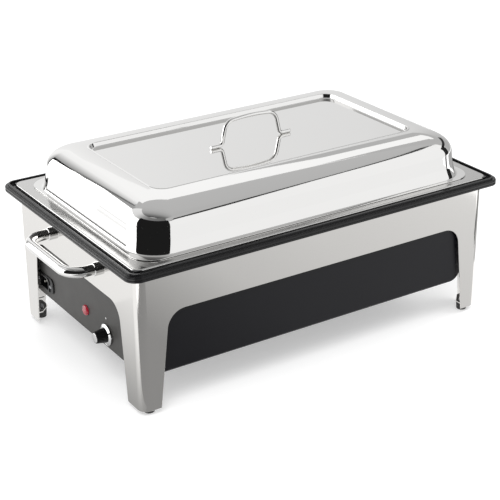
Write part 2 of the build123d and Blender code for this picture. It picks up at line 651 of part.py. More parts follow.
with BuildPart() as lamp_lens:
    with BuildSketch(outward(PANEL_FACE, LAMP_AT[0], LAMP_AT[1])):
        Circle(lens_radius)
    extrude(amount=lens_height)
    fillet(lamp_lens.edges().group_by(Axis.X)[0], 2.8)
publish(lamp_lens, "lamp_lens")

with BuildPart() as lamp_body:
    with BuildSketch(Plane.YZ.offset(PANEL_FACE)):
        with Locations(LAMP_AT):
            Circle(lamp_radius)
    extrude(amount=24.0)
    with BuildSketch(Plane.YZ.offset(PANEL_FACE + 24.0)):
        with Locations(LAMP_AT):
            with Locations((-3, 0), (3, 0)):
                Circle(1.6)
    extrude(amount=2.0)
publish(lamp_body, "lamp_body")
lamp_terminals_x = PANEL_FACE + 26.0

# ---------------------------------------------------------------- mains inlet
inlet_flange_half, inlet_flange_height = 27.5, 24.0
inlet_face = PANEL_FACE - 2.2
collar_face = inlet_face - 1.2
recess_floor = inlet_face + 16.0
inlet_back = PANEL_FACE + 22.0
pin_tip, pin_tail = recess_floor - 13.5, inlet_back + 7.0
live_pin = (INLET_AT[0] - 7, INLET_AT[1] - 2)
earth_pin = (INLET_AT[0], INLET_AT[1] + 2)
neutral_pin = (INLET_AT[0] + 7, INLET_AT[1] - 2)
pin_places = [live_pin, earth_pin, neutral_pin]


def inlet_shape(x, width, height, cut):
    """The inlet's six-sided outline, whose two upper corners are cut off."""
    with BuildSketch(outward(x, INLET_AT[0], INLET_AT[1])) as outline:
        with BuildLine():
            Polyline((-width / 2, -height / 2), (width / 2, -height / 2), (width / 2, height / 2 - cut),
                     (width / 2 - cut, height / 2), (cut - width / 2, height / 2),
                     (-width / 2, height / 2 - cut), close=True)
        make_face()
        fillet(outline.vertices(), 1.0)
    return outline.sketch


with BuildPart() as inlet_body:
    with BuildSketch(outward(PANEL_FACE, INLET_AT[0], INLET_AT[1])):
        RectangleRounded(2 * inlet_flange_half, inlet_flange_height, 9.0)
    extrude(amount=PANEL_FACE - inlet_face)
    fillet(inlet_body.edges().group_by(Axis.X)[0], 0.8)
    extrude(inlet_shape(inlet_face, 31.0, 22.0, 5.0), amount=inlet_face - collar_face)
    extrude(inlet_shape(PANEL_FACE, inlet_body_width, inlet_body_height, 5.0), amount=PANEL_FACE - inlet_back)
    extrude(inlet_shape(collar_face, 25.0, 17.0, 4.2), amount=collar_face - recess_floor, mode=Mode.SUBTRACT)
    with BuildSketch(Plane.YZ.offset(recess_floor)):
        with Locations(*pin_places):
            Rectangle(2, 4)
    extrude(amount=inlet_back - recess_floor, mode=Mode.SUBTRACT)
    with BuildSketch(Plane.YZ.offset(inlet_face)):
        with Locations(*inlet_screw_places):
            Circle(1.6)
    extrude(amount=PANEL_FACE - inlet_face, mode=Mode.SUBTRACT)
publish(inlet_body, "inlet_body")

with BuildPart() as inlet_pins:
    with BuildSketch(Plane.YZ.offset(pin_tip)):
        with Locations(*pin_places):
            Rectangle(2, 4)
    extrude(amount=pin_tail - pin_tip)
    chamfer(inlet_pins.edges().group_by(Axis.X)[0], 0.5)
publish(inlet_pins, "inlet_pins")

with BuildPart() as inlet_screws:
    pan_head_screws(inlet_screw_places, inlet_face, 2.8, 1.6, 1.5, 7.0)
publish(inlet_screws, "inlet_screws")

# ---------------------------------------------------------------- heater
pan_underside = WELL_FLOOR - SHEET
spreader_low = pan_underside - SPREADER_SHEET
element_axis = spreader_low - ELEMENT_RADIUS
clamp_top = spreader_low - 2 * ELEMENT_RADIUS
clamp_low = clamp_top - CLAMP_SHEET
shield_top = INSULATION_TOP - INSULATION_THICKNESS
shield_low = shield_top - SHIELD_SHEET
stud_places = [(x, y) for x in (-100, 15, 130) for y in (-60, 60)]
nut_height = 3.2

with BuildPart() as heat_spreader:
    rounded_block(440, 240, 12, spreader_low, pan_underside)
publish(heat_spreader, "heat_spreader")

outer_run, inner_run = ELEMENT_RUNS
cold_pin_end = ELEMENT_ENDS_X - 9.0
with BuildPart() as heating_element:
    with BuildLine(Plane.XY.offset(element_axis)) as element_line:
        FilletPolyline((ELEMENT_ENDS_X, -outer_run), (ELEMENT_OUTER_TURN_X, -outer_run),
                       (ELEMENT_OUTER_TURN_X, -inner_run), (ELEMENT_INNER_TURN_X, -inner_run),
                       (ELEMENT_INNER_TURN_X, inner_run), (ELEMENT_OUTER_TURN_X, inner_run),
                       (ELEMENT_OUTER_TURN_X, outer_run), (ELEMENT_ENDS_X, outer_run), radius=26.0)
    with BuildSketch(Plane(origin=element_line.line @ 0, z_dir=element_line.line % 0)):
        Circle(ELEMENT_RADIUS)
    sweep()
    with BuildSketch(Plane.YZ.offset(ELEMENT_ENDS_X)):
        with Locations((-outer_run, element_axis), (outer_run, element_axis)):
            Circle(1.6)
    extrude(amount=cold_pin_end - ELEMENT_ENDS_X)
publish(heating_element, "heating_element")

with BuildPart() as element_clamps:
    with BuildSketch(Plane.XY.offset(clamp_low)):
        with Locations((-100, 0), (15, 0), (130, 0)):
            RectangleRounded(14, 224, 3)
        with Locations(*stud_places):
            Circle(STUD_RADIUS + 0.2, mode=Mode.SUBTRACT)
    extrude(amount=CLAMP_SHEET)
publish(element_clamps, "element_clamps")

with BuildPart() as clamp_studs:
    with BuildSketch(Plane.XY.offset(spreader_low)):
        with Locations(*stud_places):
            Circle(STUD_RADIUS)
    extrude(amount=shield_low - nut_height - 1.0 - spreader_low)
publish(clamp_studs, "clamp_studs")

with BuildPart() as clamp_nuts:
    for top in (clamp_low, shield_low):
        with BuildSketch(Plane.XY.offset(top)):
            with Locations(*stud_places):
                RegularPolygon(4.0, 6)
                Circle(STUD_RADIUS, mode=Mode.SUBTRACT)
        extrude(amount=-nut_height)
publish(clamp_nuts, "clamp_nuts")

with BuildPart() as insulation_pad:
    rounded_block(470, 270, 14, shield_top, INSULATION_TOP)
    with BuildSketch(Plane.XY.offset(shield_top)):
        with Locations(*stud_places):
            Circle(STUD_RADIUS + 0.5)
    extrude(amount=INSULATION_THICKNESS, mode=Mode.SUBTRACT)
publish(insulation_pad, "insulation_pad")

with BuildPart() as heat_shield:
    rounded_block(470, 270, 14, shield_low, shield_top)
    with BuildSketch(Plane.XY.offset(shield_low)):
        with Locations(*stud_places):
            Circle(STUD_RADIUS + 0.2)
    extrude(amount=SHIELD_SHEET, mode=Mode.SUBTRACT)
publish(heat_shield, "heat_shield")

with BuildPart() as thermal_cutout:
    with BuildSketch(Plane.XY.offset(spreader_low)):
        with Locations((-185, 0)):
            Circle(8.0)
    extrude(amount=-8.0)
    fillet(thermal_cutout.edges().group_by(Axis.Z)[0], 1.0)
publish(thermal_cutout, "thermal_cutout")

# ---------------------------------------------------------------- wiring
block_at, block_size = (-213.0, 45.0), (24.0, 50.0)
block_floor = CASE_BOTTOM + CASE_SHEET
block_height = 18.0
port_height = block_floor + 8.5
block_side = block_at[0] - block_size[0] / 2
block_end = block_at[1] - block_size[1] / 2
earth_at, earth_stud_top = (-245.0, 100.0), 64.0


def tube_along(points, radius, bend):
    """A round wire or tube along straight runs joined by arcs."""
    with BuildLine() as route:
        FilletPolyline(*points, radius=bend)
    with BuildSketch(Plane(origin=route.line @ 0, z_dir=route.line % 0)) as section:
        Circle(radius)
    sweep(section.sketch, path=route.line)


with BuildPart() as terminal_block:
    with BuildSketch(Plane.XY.offset(block_floor)):
        with Locations(block_at):
            RectangleRounded(*block_size, 2)
    extrude(amount=block_height)
    with BuildSketch(Plane.XY.offset(block_floor + block_height)):
        with Locations(block_at):
            with GridLocations(13, 15, 2, 3):
                Circle(2.6)
    extrude(amount=-3.0, mode=Mode.SUBTRACT)
publish(terminal_block, "terminal_block")

with BuildPart() as earth_stud:
    with BuildSketch(Plane.XY.offset(block_floor)):
        with Locations(earth_at):
            Circle(2.0)
    extrude(amount=earth_stud_top - block_floor)
    with BuildSketch(Plane.XY.offset(block_floor)):
        with Locations(earth_at):
            RegularPolygon(4.2, 6)
    extrude(amount=3.0)
publish(earth_stud, "earth_stud")

bulb_axis = spreader_low - 3.0
bulb_end = -80.0
capillary_low = (clamp_top + INSULATION_TOP) / 2 - 0.4
capillary_drop_x = thermostat_back + 10.5
with BuildPart() as thermostat_bulb:
    with BuildSketch(Plane.YZ.offset(bulb_end)):
        with Locations((0, bulb_axis)):
            Circle(3.0)
    extrude(amount=60.0)
    fillet(thermostat_bulb.edges().filter_by(GeomType.CIRCLE), 1.2)
    tube_along([(bulb_end + 1.0, 0, bulb_axis), (-122, 0, bulb_axis), (-134, -12, capillary_low),
                (-222, -64, capillary_low), (capillary_drop_x, KNOB_AT[0], capillary_low),
                (capillary_drop_x, KNOB_AT[0], KNOB_AT[1]), (thermostat_back, KNOB_AT[0], KNOB_AT[1])],
               radius=0.8, bend=4.0)
publish(thermostat_bulb, "thermostat_bulb")

bend_x = thermostat_back + 11.5
wire_routes = {
    "wire_live": [(pin_tail, *live_pin), (-238, *live_pin), (-238, 60, port_height),
                  (block_side, 60, port_height)],
    "wire_feed": [(block_at[0], block_end, port_height), (block_at[0], 0, port_height), (-241, -60, 68),
                  (thermostat_back, -60, 68)],
    "wire_load": [(thermostat_back, -82, 83), (bend_x, -82, 83), (bend_x, -outer_run, element_axis),
                  (cold_pin_end, -outer_run, element_axis)],
    "wire_neutral": [(pin_tail, *neutral_pin), (bend_x, *neutral_pin), (bend_x, outer_run, element_axis),
                     (cold_pin_end, outer_run, element_axis)],
    "wire_earth": [(pin_tail, *earth_pin), (earth_at[0], *earth_pin), (*earth_at, earth_pin[1]),
                   (*earth_at, earth_stud_top)],
}
for name, route_points in wire_routes.items():
    with BuildPart() as wire:
        tube_along(route_points, WIRE_RADIUS, 3.5)
    publish(wire, name)

with BuildPart() as lamp_leads:
    for side, bend_at, port_y in ((3, -247, 32), (-3, -250, 46)):
        start_y = LAMP_AT[0] + side
        tube_along([(lamp_terminals_x, start_y, LAMP_AT[1]), (bend_at, start_y, LAMP_AT[1]),
                    (bend_at, port_y, port_height), (block_side, port_y, port_height)], LEAD_RADIUS, 3.5)
publish(lamp_leads, "lamp_leads")
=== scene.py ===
"""Looks of the electric buffet server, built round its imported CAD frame.

Metres, in the CAD's frame: +X along the long side, the control end at -X, +Z up, z = 0 under the feet.
"""

import json
from math import cos, pi, radians, sin, tan

import bmesh
import bpy
from mathutils import Matrix, Vector


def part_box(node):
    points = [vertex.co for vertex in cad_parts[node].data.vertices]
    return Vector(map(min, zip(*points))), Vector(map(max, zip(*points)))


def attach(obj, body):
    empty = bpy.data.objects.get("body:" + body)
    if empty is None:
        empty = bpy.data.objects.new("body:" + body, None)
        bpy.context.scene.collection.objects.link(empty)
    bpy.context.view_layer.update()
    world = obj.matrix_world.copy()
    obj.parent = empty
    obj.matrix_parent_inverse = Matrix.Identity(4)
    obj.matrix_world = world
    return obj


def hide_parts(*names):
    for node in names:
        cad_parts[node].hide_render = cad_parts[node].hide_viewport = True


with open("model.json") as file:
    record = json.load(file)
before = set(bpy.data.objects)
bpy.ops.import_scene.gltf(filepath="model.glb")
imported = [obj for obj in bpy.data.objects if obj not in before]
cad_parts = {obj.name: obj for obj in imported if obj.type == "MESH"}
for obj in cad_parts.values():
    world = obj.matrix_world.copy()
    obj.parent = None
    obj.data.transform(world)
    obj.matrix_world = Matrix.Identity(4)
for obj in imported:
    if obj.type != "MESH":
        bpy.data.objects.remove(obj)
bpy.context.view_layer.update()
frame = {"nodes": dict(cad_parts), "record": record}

MM = 0.001
CORNER_STEPS = 18               # facets in each rounded corner of a ring
ARC_STEP = radians(7)           # turn of each facet along a rounded path or profile
MERGE_WITHIN = 0.002 * MM       # points of a piece nearer than that become one

# ------------------------------------------------------------------ camera
CAMERA_AT = (-1.0064, -1.5499, 0.9412)
CAMERA_AZIMUTH, CAMERA_ELEVATION, CAMERA_ROLL = radians(-32.919), radians(24.389), radians(0.443)
CAMERA_LENS, CAMERA_SENSOR = 97.75, 36.0


def make_camera():
    data = bpy.data.cameras.new("camera")
    data.lens, data.sensor_width = CAMERA_LENS, CAMERA_SENSOR
    data.clip_start, data.clip_end = 0.05, 50.0
    camera = bpy.data.objects.new("camera", data)
    bpy.context.scene.collection.objects.link(camera)
    back = Vector((sin(CAMERA_AZIMUTH) * cos(CAMERA_ELEVATION),
                   -cos(CAMERA_AZIMUTH) * cos(CAMERA_ELEVATION), sin(CAMERA_ELEVATION)))
    right = Vector((cos(CAMERA_AZIMUTH), sin(CAMERA_AZIMUTH), 0))
    up = back.cross(right)
    turned_right = right * cos(CAMERA_ROLL) - up * sin(CAMERA_ROLL)
    turned_up = right * sin(CAMERA_ROLL) + up * cos(CAMERA_ROLL)
    axes = Matrix((turned_right, turned_up, back)).transposed()
    camera.matrix_world = Matrix.Translation(CAMERA_AT) @ axes.to_4x4()
    bpy.context.scene.camera = camera


# ------------------------------------------------------------------ surroundings
STUDIO_TOP = 3.2
FRONT_WALL_AT, LEFT_CARD_AT, RIGHT_GAP_AT = 2.1, 1.7, 2.0       # distances from the object's middle
LEFT_LEAN = -18                                                 # degrees per metre of height
LOWER_LAYER, UPPER_LAYER = 0.002, 0.003                         # heights of the cards on the floor
LIGHTS_AIM, LIGHT_SIZE = (0, 0, 0.15), 1.6


def emitting(name, stops):
    """A plain glow, or one that runs along the sheet's own length through (place, shade) stops."""
    material = bpy.data.materials.new(name)
    material.use_nodes = True
    tree = material.node_tree
    tree.nodes.clear()
    glow = tree.nodes.new("ShaderNodeEmission")
    output = tree.nodes.new("ShaderNodeOutputMaterial")
    ramp = tree.nodes.new("ShaderNodeValToRGB")
    place = tree.nodes.new("ShaderNodeUVMap")
    split = tree.nodes.new("ShaderNodeSeparateXYZ")
    elements = ramp.color_ramp.elements
    while len(elements) < len(stops):
        elements.new(0.5)
    for element, (at, shade) in zip(elements, stops):
        element.position = at
        element.color = (shade, shade, shade, 1)
    tree.links.new(place.outputs["UV"], split.inputs[0])
    tree.links.new(split.outputs["X"], ramp.inputs[0])
    tree.links.new(ramp.outputs["Color"], glow.inputs["Color"])
    tree.links.new(glow.outputs[0], output.inputs["Surface"])
    material.cycles.emission_sampling = "NONE"
    return material


def reflector(name, first_edge, second_edge, stops):
    """A sheet between two rows of points that only reflections see, like a card beside the set."""
    count = len(first_edge)
    mesh = bpy.data.meshes.new(name)
    mesh.from_pydata(first_edge + second_edge, [],
                     [(i, i + 1, count + i + 1, count + i) for i in range(count - 1)])
    along = mesh.uv_layers.new(name="along")
    for loop in mesh.loops:
        along.data[loop.index].uv = ((loop.vertex_index % count) / (count - 1), loop.vertex_index // count)
    mesh.materials.append(emitting(name, stops))
    sheet = bpy.data.objects.new(name, mesh)
    bpy.context.scene.collection.objects.link(sheet)
    sheet.visible_camera = False
    sheet.visible_diffuse = False
    sheet.visible_shadow = False
    sheet.visible_transmission = False
    sheet.visible_volume_scatter = False
    return sheet


def direction(azimuth):
    """A level direction: azimuth 0 is -Y and 90 is +X."""
    return Vector((sin(radians(azimuth)), -cos(radians(azimuth)), 0))


def between(rows, at):
    """The values at one place, from rows of (place, value, ...) in rising order of place."""
    for (start, *before), (stop, *after) in zip(rows, rows[1:]):
        if at <= stop:
            share = (at - start) / (stop - start)
            return [first + (second - first) * share for first, second in zip(before, after)]
    return list(rows[-1][1:])


def round_card(name, rows, distance, stops, lean=0, steps=32):
    """An upright card bent round the object, through (azimuth, low, high) rows, its top turned by lean."""
    foot, brow = [], []
    for step in range(steps + 1):
        azimuth = rows[0][0] + (rows[-1][0] - rows[0][0]) * step / steps
        low, high = between(rows, azimuth)
        foot.append(direction(azimuth) * distance + Vector((0, 0, low)))
        brow.append(direction(azimuth + lean * (high - low)) * distance + Vector((0, 0, high)))
    reflector(name, foot, brow, stops)


def level_card(name, x, y, height, stops):
    """A level card whose shade runs along X."""
    reflector(name, [Vector((at, y[0], height)) for at in x], [Vector((at, y[1], height)) for at in x], stops)


def area_light(name, place, aim, size, power):
    data = bpy.data.lights.new(name, "AREA")
    data.shape, data.size, data.energy = "DISK", size, power
    light = bpy.data.objects.new(name, data)
    light.location = place
    light.rotation_euler = (Vector(aim) - Vector(place)).to_track_quat("-Z", "Y").to_euler()
    light.visible_glossy = False
    bpy.context.scene.collection.objects.link(light)


def make_floor():
    reach = 12.0
    mesh = bpy.data.meshes.new("floor")
    mesh.from_pydata([(-reach, -reach, 0), (reach, -reach, 0), (reach, reach, 0), (-reach, reach, 0)], [],
                     [(0, 1, 2, 3)])
    material = bpy.data.materials.new("floor_paper")
    material.use_nodes = True
    shader = material.node_tree.nodes["Principled BSDF"]
    shader.inputs["Base Color"].default_value = (0.72, 0.72, 0.72, 1)
    shader.inputs["Emission Color"].default_value = (1, 1, 1, 1)
    shader.inputs["Emission Strength"].default_value = 0.38
    shader.inputs["Roughness"].default_value = 0.9
    shader.inputs["Specular IOR Level"].default_value = 0.1
    mesh.materials.append(material)
    floor = bpy.data.objects.new("floor", mesh)
    bpy.context.scene.collection.objects.link(floor)


def even(shade):
    """Stops for a card of one shade."""
    return [(0, shade), (1, shade)]


def make_walls():
    """Pale wall and ceiling, and the lower walls whose top edges draw the lines in the lid's shoulder."""
    round_card("upper_wall", ((-180, 0, STUDIO_TOP), (180, 0, STUDIO_TOP)), 2.5, even(0.48))
    towards, across = Vector((0.8, 0.6, 0)), Vector((-0.6, 0.8, 0))
    half_width, row_gap = 2.8, 0.3
    rows = [towards * (row_gap * step) + Vector((0, 0, STUDIO_TOP)) for step in range(-6, 9)]
    reflector("ceiling", [place - across * half_width for place in rows],
              [place + across * half_width for place in rows],
              [(0, 0.06), (0.143, 0.17), (0.286, 0.36), (0.43, 0.46), (0.57, 0.49), (1, 0.51)])

    front_top = ((-5, 1.40, 1.40), (22, 1.52, 1.66), (28, 1.60, 1.92), (38, 1.96, 2.20), (47, 2.22, 2.37),
                 (56, 2.32, 2.46), (75, 2.58, 2.67), (80, 2.62, 2.70))
    round_card("front_wall", [(at, 0, low) for at, low, _ in front_top], FRONT_WALL_AT,
               [(0, 0.92), (1, 0.95)])
    round_card("front_wall_edge", front_top, FRONT_WALL_AT, even(0.03))
    round_card("back_wall", ((80, 0, 1.5), (148, 0, 1.5), (158, 0, 2.2), (198, 0, 2.2)), 2.4,
               [(0, 0.45), (0.24, 0.45), (0.39, 0.62), (0.49, 0.77), (0.59, 0.80), (0.69, 0.86), (0.81, 0.93),
                (1, 1.0)])
    round_card("back_glow", ((108, 2.0, 2.55), (116, 1.9, 2.65), (121, 1.9, 3.05), (134, 2.0, 3.17),
                             (144, 1.6, 3.15), (152, 1.3, 3.0), (158, 1.45, 2.9), (166, 1.6, 2.9),
                             (184, 1.65, 2.9)), 2.3, even(1.0))


def make_side_cards():
    """The dark screen at the camera's side, the bright card at the left, and the dark gaps by the walls."""
    round_card("camera_screen", ((-90, 0, 0.92), (-5, 0, 0.92)), 0.95, even(0.012))
    round_card("camera_side_shade", ((-150, 1.2, STUDIO_TOP), (-92, 1.2, STUDIO_TOP), (-88, 0.8, STUDIO_TOP),
                                     (-2, 0.8, STUDIO_TOP)), 1.9,
               [(0, 0.85), (0.20, 0.75), (0.40, 0.34), (0.55, 0.20), (1, 0.14)])
    round_card("left_card_low", ((-151, 0, 0.95), (-88, 0, 0.95)), LEFT_CARD_AT, even(2.6))
    round_card("left_card_high", ((-151, 0.95, 1.2), (-88, 0.95, 1.2)), LEFT_CARD_AT, even(2.6),
               lean=LEFT_LEAN)
    round_card("left_gap_low", ((-156, 0, 1.02), (-151, 0, 1.02)), LEFT_CARD_AT, even(0.02))
    round_card("left_gap_high", ((-154, 1.02, 1.6), (-151.5, 1.02, 1.6)), LEFT_CARD_AT,
               [(0, 0.22), (1, 0.10)], lean=LEFT_LEAN)
    round_card("left_falloff", ((-182, 0, 1.7), (-153, 0, 1.7)), 1.75,
               [(0, 1.0), (0.38, 0.95), (0.60, 0.70), (0.82, 0.44), (1, 0.28)])
    round_card("right_gap", ((61, 0, 1.5), (79, 0, 1.5)), RIGHT_GAP_AT, even(0.02))
    reflector("right_gap_floor", [Vector((0.85, -0.35, UPPER_LAYER)), Vector((1.85, -0.80, UPPER_LAYER))],
              [Vector((0.85, -0.47, UPPER_LAYER)), Vector((1.85, -0.96, UPPER_LAYER))], even(0.02))
    round_card("right_gap_top", ((79, 1.15, 1.5), (112, 0.85, 1.15)), RIGHT_GAP_AT, [(0, 0.02), (1, 0.05)])


def make_floor_shades():
    """Shaded strips of floor that the stand, the handle and the rim mirror."""
    level_card("front_floor_shade", (-0.60, -0.16, 0.04, 0.24, 0.60), (-0.75, -0.181), LOWER_LAYER,
               [(0, 0.25), (0.25, 0.28), (0.5, 0.55), (0.75, 0.64), (1, 0.75)])
    level_card("left_floor_shade", (-0.78, -0.70, -0.62, -0.54, -0.46, -0.38, -0.291), (-0.20, 0.14),
               LOWER_LAYER, [(0, 1.0), (0.60, 0.95), (0.83, 0.66), (1, 0.34)])
    level_card("left_floor_shade_back", (-0.62, -0.291), (0.14, 0.60), LOWER_LAYER, [(0, 0.95), (1, 0.85)])
    level_card("front_floor_far", (-0.60, 2.2), (-2.2, -0.75), LOWER_LAYER, even(0.92))
    level_card("right_corner_shade", (0.50, 0.80), (-0.37, -0.25), UPPER_LAYER, even(0.10))
    level_card("right_floor_shade", (0.45, 1.6), (-0.25, 0.9), LOWER_LAYER, [(0, 0.38), (1, 0.44)])


def make_surroundings():
    """White world, paper floor, two soft lights, and cards that only reflections see.

    The cards are placed for this camera. From other sides the lid mirrors their edges as hard steps.
    """
    world = bpy.data.worlds.new("studio")
    world.use_nodes = True
    world.node_tree.nodes["Background"].inputs["Color"].default_value = (1, 1, 1, 1)
    world.node_tree.nodes["Background"].inputs["Strength"].default_value = 1.0
    bpy.context.scene.world = world
    make_floor()
    area_light("key", (-1.2, -1.0, 2.2), LIGHTS_AIM, LIGHT_SIZE, 22.0)
    area_light("fill", (1.6, -0.6, 1.8), LIGHTS_AIM, LIGHT_SIZE, 12.0)
    make_walls()
    make_side_cards()
    make_floor_shades()


# ------------------------------------------------------------------ materials
def finish(name, colours, roughness, metallic=0.0, fine=900.0, stretch=(1, 1, 1), bump=0.0, broad=14.0,
           waviness=0.0, sockets=None):
    """A surface with fine grain (colour, roughness and bump) over a broad, soft unevenness.

    colours and roughness are pairs to vary between, fine and broad are cycles per metre,
    bump and waviness are the heights of the grain and of the broad unevenness.
    """
    material = bpy.data.materials.new(name)
    material.use_nodes = True
    tree = material.node_tree
    shader = tree.nodes["Principled BSDF"]
    shader.inputs["Metallic"].default_value = metallic
    for socket, value in (sockets or {}).items():
        shader.inputs[socket].default_value = value

    place = tree.nodes.new("ShaderNodeTexCoord")
    grain_place = tree.nodes.new("ShaderNodeMapping")
    grain_place.inputs["Scale"].default_value = stretch
    grain = tree.nodes.new("ShaderNodeTexNoise")
    grain.inputs["Scale"].default_value = fine
    grain.inputs["Detail"].default_value = 3.0
    cloud = tree.nodes.new("ShaderNodeTexNoise")
    cloud.inputs["Scale"].default_value = broad
    cloud.inputs["Detail"].default_value = 2.0
    tree.links.new(place.outputs["Object"], grain_place.inputs["Vector"])
    tree.links.new(grain_place.outputs["Vector"], grain.inputs["Vector"])
    tree.links.new(place.outputs["Object"], cloud.inputs["Vector"])

    both = tree.nodes.new("ShaderNodeMath")
    both.operation = "MULTIPLY_ADD"
    both.inputs[1].default_value = 0.5
    halved = tree.nodes.new("ShaderNodeMath")
    halved.operation = "MULTIPLY"
    halved.inputs[1].default_value = 0.5
    tree.links.new(cloud.outputs["Fac"], halved.inputs[0])
    tree.links.new(grain.outputs["Fac"], both.inputs[0])
    tree.links.new(halved.outputs[0], both.inputs[2])

    tint = tree.nodes.new("ShaderNodeMix")
    tint.data_type = "RGBA"
    tint.inputs["A"].default_value = (*colours[0], 1)
    tint.inputs["B"].default_value = (*colours[1], 1)
    spread = tree.nodes.new("ShaderNodeMapRange")
    spread.inputs["From Min"].default_value = 0.3
    spread.inputs["From Max"].default_value = 0.7
    spread.inputs["To Min"].default_value = roughness[0]
    spread.inputs["To Max"].default_value = roughness[1]
    tree.links.new(both.outputs[0], tint.inputs["Factor"])
    tree.links.new(both.outputs[0], spread.inputs["Value"])
    tree.links.new(tint.outputs["Result"], shader.inputs["Base Color"])
    tree.links.new(spread.outputs["Result"], shader.inputs["Roughness"])

    if waviness:
        swell = tree.nodes.new("ShaderNodeBump")
        swell.inputs["Distance"].default_value = waviness
        tree.links.new(cloud.outputs["Fac"], swell.inputs["Height"])
        tree.links.new(swell.outputs["Normal"], shader.inputs["Normal"])
    if bump:
        ripple = tree.nodes.new("ShaderNodeBump")
        ripple.inputs["Distance"].default_value = bump
        tree.links.new(grain.outputs["Fac"], ripple.inputs["Height"])
        if waviness:
            tree.links.new(swell.outputs["Normal"], ripple.inputs["Normal"])
        tree.links.new(ripple.outputs["Normal"], shader.inputs["Normal"])
    return material


def make_materials():
    """One finish for each material slot of the record."""
    return {
        "polished_steel": finish("polished_steel", ((0.93, 0.925, 0.915), (0.90, 0.895, 0.885)), (0.03, 0.06),
                                 metallic=1.0, fine=700, stretch=(0.2, 1, 1), bump=0.000002, broad=7,
                                 waviness=0.00008),
        "frame_steel": finish("frame_steel", ((0.92, 0.905, 0.88), (0.88, 0.865, 0.84)), (0.07, 0.13),
                              metallic=1.0, fine=500, stretch=(1, 1, 0.04), bump=0.000012, broad=6,
                              waviness=0.0001),
        "pan_steel": finish("pan_steel", ((0.72, 0.715, 0.705), (0.64, 0.635, 0.625)), (0.14, 0.24),
                            metallic=1.0, fine=900, stretch=(0.05, 1, 1), bump=0.000006, broad=7,
                            waviness=0.00003),
        "rim_plastic": finish("rim_plastic", ((0.005, 0.005, 0.0055), (0.009, 0.009, 0.0095)), (0.10, 0.20),
                              fine=2500, bump=0.00001, broad=30, sockets={"Specular IOR Level": 0.5}),
        "case_black": finish("case_black", ((0.002, 0.002, 0.004), (0.004, 0.004, 0.007)), (0.32, 0.45),
                             fine=1400, bump=0.00002, broad=20, waviness=0.0001,
                             sockets={"Specular IOR Level": 0.42}),
        "panel_charcoal": finish("panel_charcoal", ((0.040, 0.039, 0.037), (0.062, 0.060, 0.057)),
                                 (0.40, 0.55), fine=2600, bump=0.00004, broad=40),
        "black_plastic": finish("black_plastic", ((0.003, 0.003, 0.0035), (0.006, 0.006, 0.0065)),
                                (0.25, 0.38), fine=2200, bump=0.00001, broad=60,
                                sockets={"Specular IOR Level": 0.35}),
        "knob_trim": finish("knob_trim", ((0.92, 0.92, 0.92), (0.88, 0.88, 0.88)), (0.04, 0.09),
                            metallic=1.0, fine=1500, broad=50, waviness=0.00002),
        "lens_red": finish("lens_red", ((0.50, 0.010, 0.035), (0.62, 0.02, 0.05)), (0.05, 0.12),
                           fine=600, broad=200, waviness=0.00005,
                           sockets={"Transmission Weight": 0.35, "Coat Weight": 1.0, "Coat Roughness": 0.03}),
        "lamp_white": finish("lamp_white", ((0.75, 0.74, 0.70), (0.68, 0.67, 0.63)), (0.35, 0.5),
                             fine=1500, bump=0.00001),
        "zinc_steel": finish("zinc_steel", ((0.66, 0.67, 0.68), (0.52, 0.53, 0.55)), (0.22, 0.40),
                             metallic=1.0, fine=1200, bump=0.00001, broad=80),
        "pin_metal": finish("pin_metal", ((0.80, 0.78, 0.72), (0.70, 0.68, 0.60)), (0.18, 0.30),
                            metallic=1.0, fine=1500, bump=0.000005, broad=120),
        "spreader_aluminium": finish("spreader_aluminium", ((0.78, 0.79, 0.80), (0.68, 0.69, 0.70)),
                                     (0.30, 0.45), metallic=1.0, fine=800, stretch=(0.05, 1, 1),
                                     bump=0.00002),
        "element_sheath": finish("element_sheath", ((0.20, 0.16, 0.12), (0.34, 0.29, 0.24)), (0.35, 0.60),
                                 metallic=1.0, fine=900, bump=0.00002, broad=45),
        "insulation": finish("insulation", ((0.82, 0.80, 0.72), (0.66, 0.63, 0.54)), (0.85, 1.0),
                             fine=600, stretch=(0.3, 1, 1), bump=0.0006),
        "foot_rubber": finish("foot_rubber", ((0.015, 0.015, 0.015), (0.03, 0.03, 0.03)), (0.55, 0.75),
                              fine=1800, bump=0.00006),
        "wire_brown": finish("wire_brown", ((0.20, 0.07, 0.03), (0.15, 0.05, 0.02)), (0.4, 0.55), fine=1500),
        "wire_blue": finish("wire_blue", ((0.03, 0.12, 0.45), (0.02, 0.09, 0.36)), (0.4, 0.55), fine=1500),
        "wire_green": finish("wire_green", ((0.10, 0.40, 0.08), (0.42, 0.45, 0.04)), (0.4, 0.55), fine=300),
    }


# ------------------------------------------------------------------ mesh tools
def ring(half_x, half_y, corner, height):
    """Points round a rectangle with rounded corners, anticlockwise seen from above."""
    points = []
    for turn, (side_x, side_y) in enumerate(((1, 1), (-1, 1), (-1, -1), (1, -1))):
        for step in range(CORNER_STEPS + 1):
            angle = (turn + step / CORNER_STEPS) * pi / 2
            points.append(Vector((side_x * (half_x - corner) + corner * cos(angle),
                                  side_y * (half_y - corner) + corner * sin(angle), height)))
    return points


def filleted(*corners):
    """A path through (x, y, ..., radius) corners, with an arc of that radius at each inner one."""
    places = [(Vector(corner[:-1]), corner[-1]) for corner in corners]
    path = [places[0][0]]
    for (before, _), (point, radius), (after, _) in zip(places, places[1:], places[2:]):
        into, out = (point - before).normalized(), (after - point).normalized()
        turn = into.angle(out)
        if radius * turn == 0:
            path.append(point)
            continue
        start = point - into * radius * tan(turn / 2)
        side = (out - into * cos(turn)).normalized()
        steps = max(3, round(turn / ARC_STEP))
        for step in range(steps + 1):
            angle = turn * step / steps
            path.append(start + into * radius * sin(angle) + side * radius * (1 - cos(angle)))
    path.append(places[-1][0])
    return path


